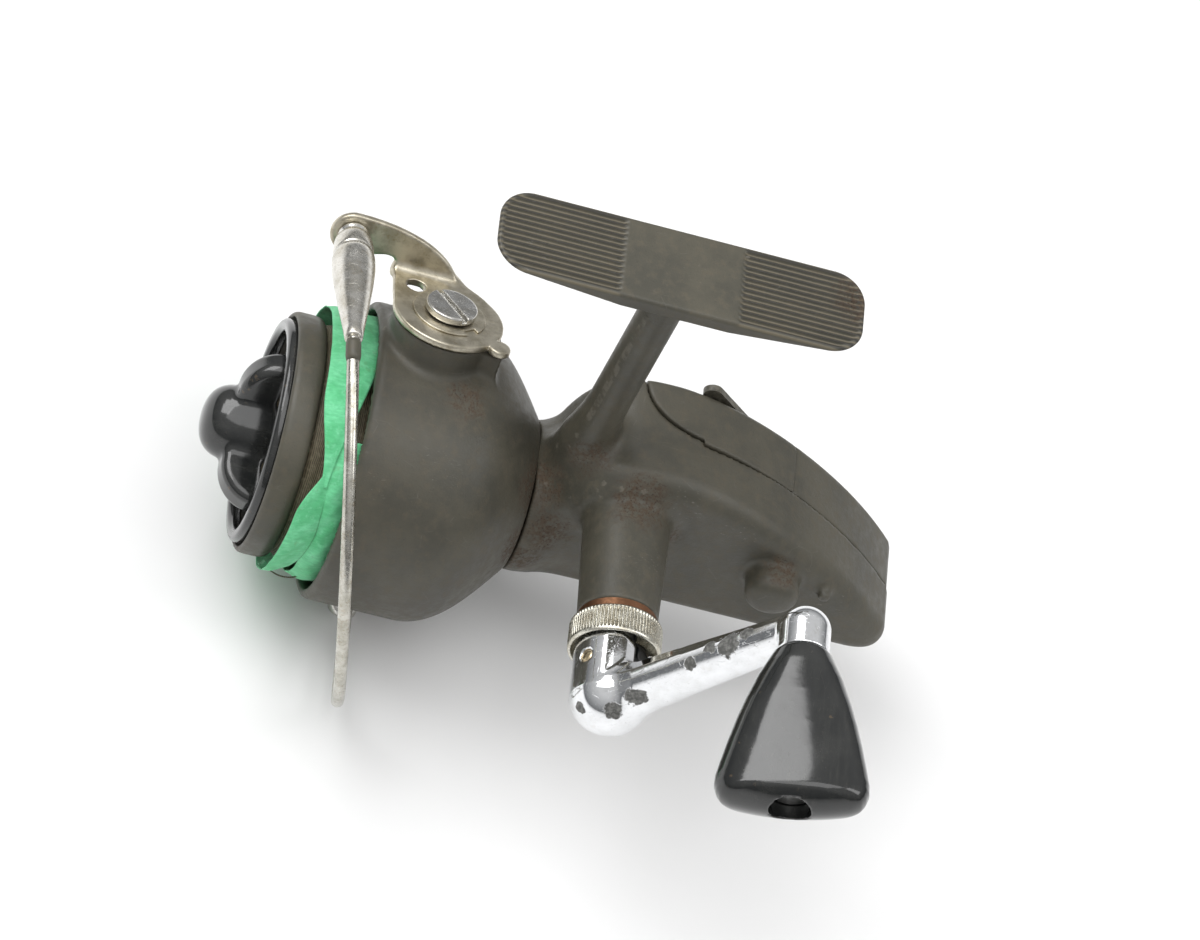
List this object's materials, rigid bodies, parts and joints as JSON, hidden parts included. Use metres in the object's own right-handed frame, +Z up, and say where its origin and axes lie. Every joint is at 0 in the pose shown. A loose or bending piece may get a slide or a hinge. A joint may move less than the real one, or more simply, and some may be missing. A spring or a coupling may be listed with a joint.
{
  "type": "spinning reel",
  "caption": "Open-face spinning reel: cast gear housing with foot, rotor cup with full bail, spool with front drag, folding crank with paddle knob.",
  "frame": {"origin": "centre of the foot's flat seat face, which lies against the rod", "axes": "+X forward to the rod tip along the spool shaft, +Y to the handle side, +Z up from the reel into the rod seat"},
  "size_m": [0.1232, 0.1064, 0.1026],
  "materials": {
    "olive_paint": "satin dark olive paint, worn to rust and bare metal on edges",
    "black_plastic": "glossy black moulded plastic",
    "aged_nickel": "nickel plate, yellowed and lightly pitted",
    "chrome_plate": "bright chrome, chipped to grey casting",
    "polished_face": "polished plate",
    "steel": "turned steel, oiled",
    "dark_steel": "darkened steel",
    "brass": "machined brass",
    "bronze": "brown tarnished bronze",
    "fishing_line": "wound nylon line",
    "paper_tape": "green crepe paper tape"
  },
  "bodies": {
    "casing": {"gear_housing": "olive_paint", "side_cover": "olive_paint", "cover_screws": "steel", "front_bearing": "steel", "bearing_retainer": "steel", "rotor_rear_bush": "bronze", "shaft_rear_bush": "bronze", "handle_bush_outer": "bronze", "handle_bush_inner": "bronze"},
    "crank_shaft": {"handle_shaft": "steel", "drive_gear": "brass", "eccentric_pin": "steel", "ratchet_wheel": "steel"},
    "collar": {"lock_collar": "aged_nickel"},
    "crank": {"crank_arm": "chrome_plate", "fold_pin": "brass", "knob_rivet": "steel"},
    "knob": {"handle_knob": "black_plastic"},
    "anti_reverse": {"anti_reverse_lever": "aged_nickel", "anti_reverse_shaft": "steel", "anti_reverse_pawl": "steel"},
    "rotor": {"rotor_cup": "olive_paint", "rotor_worm": "brass", "rotor_nut": "brass", "balance_weight": "steel", "bail_pivot_screw": "aged_nickel", "rear_pivot_bolt": "dark_steel", "bail_spring": "steel", "trip_lever_pin": "steel"},
    "trip": {"trip_lever": "steel"},
    "bail": {"bail_arm": "aged_nickel", "pivot_washer": "aged_nickel", "bail_wire": "aged_nickel", "bail_cone": "aged_nickel", "roller_stud": "aged_nickel"},
    "roller": {"line_roller": "aged_nickel"},
    "slide": {"main_shaft": "steel", "slide_carriage": "brass", "spool_seat": "steel", "click_pawl": "steel", "drag_washers": "brass", "drag_spring": "steel"},
    "spool_group": {"spool": "olive_paint", "spool_face": "polished_face", "click_gear": "brass", "line_winding": "fishing_line", "line_tape": "paper_tape"},
    "drag": {"drag_knob": "black_plastic", "drag_nut": "brass"}
  },
  "joints": [
    {"name": "crank_spin", "type": "hinge", "parent": "casing", "child": "crank_shaft", "pos_m": [-0.0097, 0, -0.0576], "axis": [0, 1, 0], "continuous": true},
    {"name": "rotor_spin", "type": "hinge", "parent": "casing", "child": "rotor", "pos_m": [0.038, 0, -0.0724], "axis": [1, 0, 0], "continuous": true},
    {"name": "shaft_slide", "type": "slide", "parent": "casing", "child": "slide", "axis": [1, 0, 0], "range_m": [-0.0035, 0.0035]},
    {"name": "spool_spin", "type": "hinge", "parent": "slide", "child": "spool_group", "pos_m": [0.038, 0, -0.0724], "axis": [1, 0, 0], "continuous": true},
    {"name": "drag_knob_turn", "type": "hinge", "parent": "slide", "child": "drag", "pos_m": [0.05, 0, -0.0724], "axis": [1, 0, 0], "range_deg": [-180, 180]},
    {"name": "bail_swing", "type": "hinge", "parent": "rotor", "child": "bail", "pos_m": [0.0277, 0, -0.0724], "axis": [0, 0.3907, -0.9205], "range_deg": [0, 110]},
    {"name": "roller_spin", "type": "hinge", "parent": "bail", "child": "roller", "pos_m": [0.0454, -0.02214, -0.04378], "axis": [0, 0.9205, 0.3907], "continuous": true},
    {"name": "trip_lever_turn", "type": "hinge", "parent": "rotor", "child": "trip", "pos_m": [0.012, -0.01046, -0.07149], "axis": [1, 0, 0], "range_deg": [0, 8], "stiffness_Nm_per_rad": 0.02},
    {"name": "crank_fold", "type": "hinge", "parent": "crank_shaft", "child": "crank", "pos_m": [-0.0097, 0.0403, -0.0576], "axis": [-0.8434, 0, -0.5373], "range_deg": [0, 55]},
    {"name": "collar_turn", "type": "hinge", "parent": "crank_shaft", "child": "collar", "pos_m": [-0.0097, 0.034, -0.0576], "axis": [0, 1, 0], "range_deg": [0, 180]},
    {"name": "knob_spin", "type": "hinge", "parent": "crank", "child": "knob", "pos_m": [-0.03173, 0.0512, -0.02302], "axis": [0, 1, 0], "continuous": true},
    {"name": "anti_reverse_turn", "type": "hinge", "parent": "casing", "child": "anti_reverse", "pos_m": [-0.0375, 0, -0.0641], "axis": [0, 1, 0], "range_deg": [0, 12]}
  ],
  "couplings": [
    {"joint": "rotor_spin", "follows": "crank_spin", "ratio": 3.3333}
  ]
}
